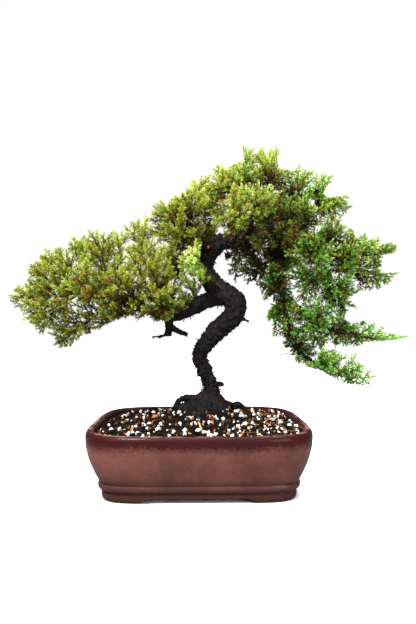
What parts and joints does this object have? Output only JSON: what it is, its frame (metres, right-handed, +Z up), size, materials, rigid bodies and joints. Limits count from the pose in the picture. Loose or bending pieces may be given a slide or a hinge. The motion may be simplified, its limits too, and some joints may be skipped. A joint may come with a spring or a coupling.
{
  "type": "juniper bonsai",
  "caption": "Juniper bonsai with a twisting dark trunk, needle sprays and a cascading side, planted in gritty soil in a glazed rectangular pot with rounded corners and low feet.",
  "frame": {"origin": "on the table under the middle of the whole part's box, level with the undersides of the pot's feet", "axes": "+X along the pot's long side, to the right as the picture shows it; +Y away from the viewer; +Z up"},
  "size_m": [0.4956, 0.2, 0.4179],
  "materials": {
    "glaze": "gloss",
    "screen_mesh": "matte",
    "soil_mix": "matte",
    "bark": "matte",
    "needles_olive": "satin",
    "needles_green": "satin"
  },
  "bodies": {
    "root": {"pot": "glaze", "screen_left": "screen_mesh", "screen_right": "screen_mesh", "soil": "soil_mix", "wood": "bark", "spray_01_left": "needles_olive", "spray_02_left": "needles_olive", "spray_03_left": "needles_olive", "spray_04_left": "needles_olive", "spray_05_left": "needles_olive", "spray_06_left": "needles_olive", "spray_07_left": "needles_olive", "spray_08_left": "needles_olive", "spray_09_left": "needles_olive", "spray_10_left": "needles_olive", "spray_11_left": "needles_olive", "spray_12_left": "needles_olive", "spray_13_left": "needles_olive", "spray_14_left": "needles_olive", "spray_15_hang": "needles_olive", "spray_16_left": "needles_olive", "spray_17_back_left": "needles_olive", "spray_18_back_left": "needles_olive", "spray_19_shoulder": "needles_olive", "spray_20_shoulder": "needles_olive", "spray_21_shoulder": "needles_olive", "spray_22_shoulder": "needles_olive", "spray_23_crown": "needles_olive", "spray_24_crown": "needles_olive", "spray_25_crown": "needles_olive", "spray_26_crown": "needles_olive", "spray_27_front": "needles_olive", "spray_28_front": "needles_green", "spray_29_top": "needles_green", "spray_30_top": "needles_green", "spray_31_corner": "needles_green", "spray_32_corner": "needles_green", "spray_33_corner": "needles_green", "spray_34_corner": "needles_green", "spray_35_back_right": "needles_green", "spray_36_back_right": "needles_green", "spray_37_front_right": "needles_green", "spray_38_front_right": "needles_green", "spray_39_reach": "needles_green", "spray_40_reach": "needles_green", "spray_41_right": "needles_green", "spray_42_right": "needles_green", "spray_43_right": "needles_green", "spray_44_middle": "needles_green", "spray_45_middle": "needles_green", "spray_46_hang": "needles_green", "spray_47_hang": "needles_green", "spray_48_hang": "needles_green", "spray_49_hang": "needles_green", "spray_50_hang": "needles_green", "spray_51_hang": "needles_green", "spray_52_low": "needles_green", "spray_53_low": "needles_green", "spray_54_low": "needles_green", "spray_55_low": "needles_green"}
  },
  "joints": []
}
